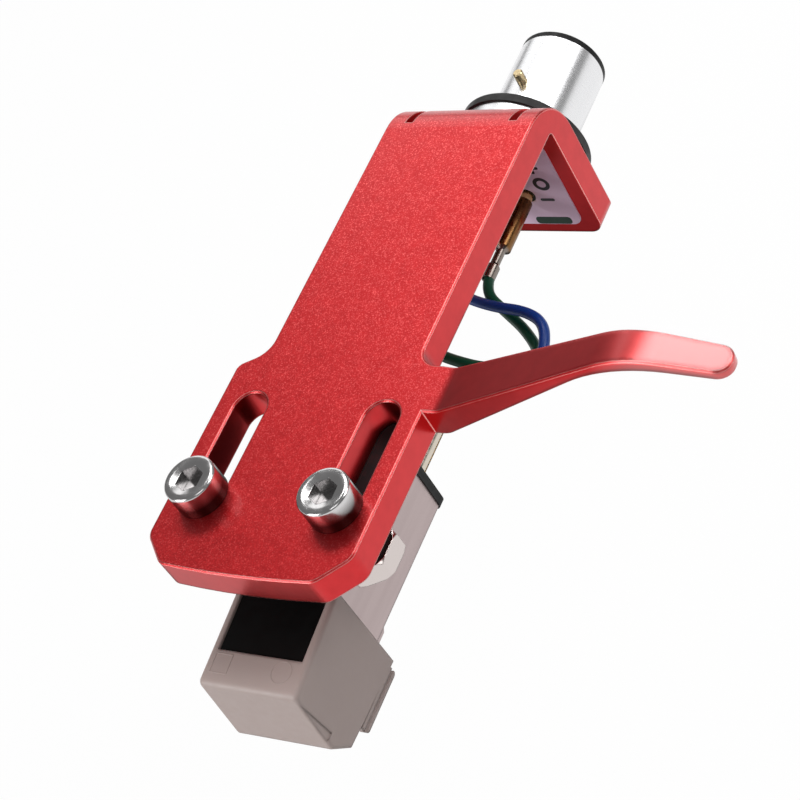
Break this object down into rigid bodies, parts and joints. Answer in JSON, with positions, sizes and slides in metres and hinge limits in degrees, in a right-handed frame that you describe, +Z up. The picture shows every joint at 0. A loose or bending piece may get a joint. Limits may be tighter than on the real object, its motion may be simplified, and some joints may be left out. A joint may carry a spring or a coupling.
{
  "type": "turntable headshell with stylus cartridge",
  "caption": "Bayonet headshell with a bent plate, mounting slots and a finger lift, carrying a moving magnet cartridge with a pull-off stylus holder and colour-coded leads.",
  "frame": {"origin": "on the bayonet axis, on the sealing face of the gasket", "axes": "+Y back along the bayonet plug, -Y towards the nose, +X towards the finger lift, +Z up, with the plate level"},
  "size_m": [0.0469, 0.0687, 0.026],
  "materials": {
    "red_anodised": "bead-blasted red anodising",
    "satin_aluminium": "satin turned",
    "black_rubber": "matt",
    "brass": "turned",
    "black_plastic": "matt",
    "gold_contact": "gold plated",
    "label_white": "matt print",
    "gold_clip": "gold plated sheet",
    "silver_clip": "tinned sheet",
    "lead_green": "soft insulation",
    "lead_blue": "soft insulation",
    "lead_white": "soft insulation",
    "lead_red": "soft insulation",
    "black_body": "satin moulding",
    "shield_steel": "satin plate",
    "screw_steel": "polished",
    "nut_steel": "polished",
    "soft_iron": "annealed",
    "bobbin_plastic": "moulded",
    "copper": "enamelled wire",
    "grey_plastic": "satin moulding",
    "pipe_brass": "drawn",
    "spring_steel": "drawn",
    "damper_rubber": "matt",
    "bare_aluminium": "drawn",
    "diamond": "polished",
    "magnet": "sintered"
  },
  "bodies": {
    "headshell": {"headshell": "red_anodised", "bayonet_tube": "satin_aluminium", "gasket": "black_rubber", "locating_pin": "brass", "contact_insulator": "black_plastic", "contact_pins": "gold_contact", "lead_label": "label_white", "rear_clips": "gold_clip", "lead_green": "lead_green", "lead_blue": "lead_blue", "lead_white": "lead_white", "lead_red": "lead_red"},
    "cartridge": {"cartridge_body": "black_body", "shield_can": "shield_steel", "terminal_plate": "black_body", "terminal_pins": "gold_contact", "front_clips": "silver_clip", "mounting_screws": "screw_steel", "mounting_nuts": "nut_steel", "pole_pieces": "soft_iron", "coil_bobbins": "bobbin_plastic", "coils": "copper"},
    "stylus": {"stylus_holder": "grey_plastic", "joint_pipe": "pipe_brass", "tension_wire": "spring_steel"},
    "suspension": {"suspension_damper": "damper_rubber"},
    "cantilever": {"cantilever": "bare_aluminium", "stylus_tip": "diamond", "magnets": "magnet"}
  },
  "joints": [
    {"name": "overhang_slide", "type": "slide", "parent": "headshell", "child": "cartridge", "axis": [0, 1, 0], "range_m": [0, 0.0084], "deforming": ["lead_green", "lead_blue", "lead_white", "lead_red"]},
    {"name": "stylus_pull", "type": "slide", "parent": "cartridge", "child": "stylus", "axis": [0, -1, 0], "range_m": [0, 0.012]},
    {"name": "lateral_swing", "type": "hinge", "parent": "stylus", "child": "suspension", "pos_m": [0, -0.05075, -0.00692], "axis": [0, 0, 1], "range_deg": [-5, 5], "stiffness_Nm_per_rad": 0.0015},
    {"name": "vertical_swing", "type": "hinge", "parent": "suspension", "child": "cantilever", "pos_m": [0, -0.05075, -0.00692], "axis": [1, 0, 0], "range_deg": [-5, 5], "stiffness_Nm_per_rad": 0.0015}
  ]
}
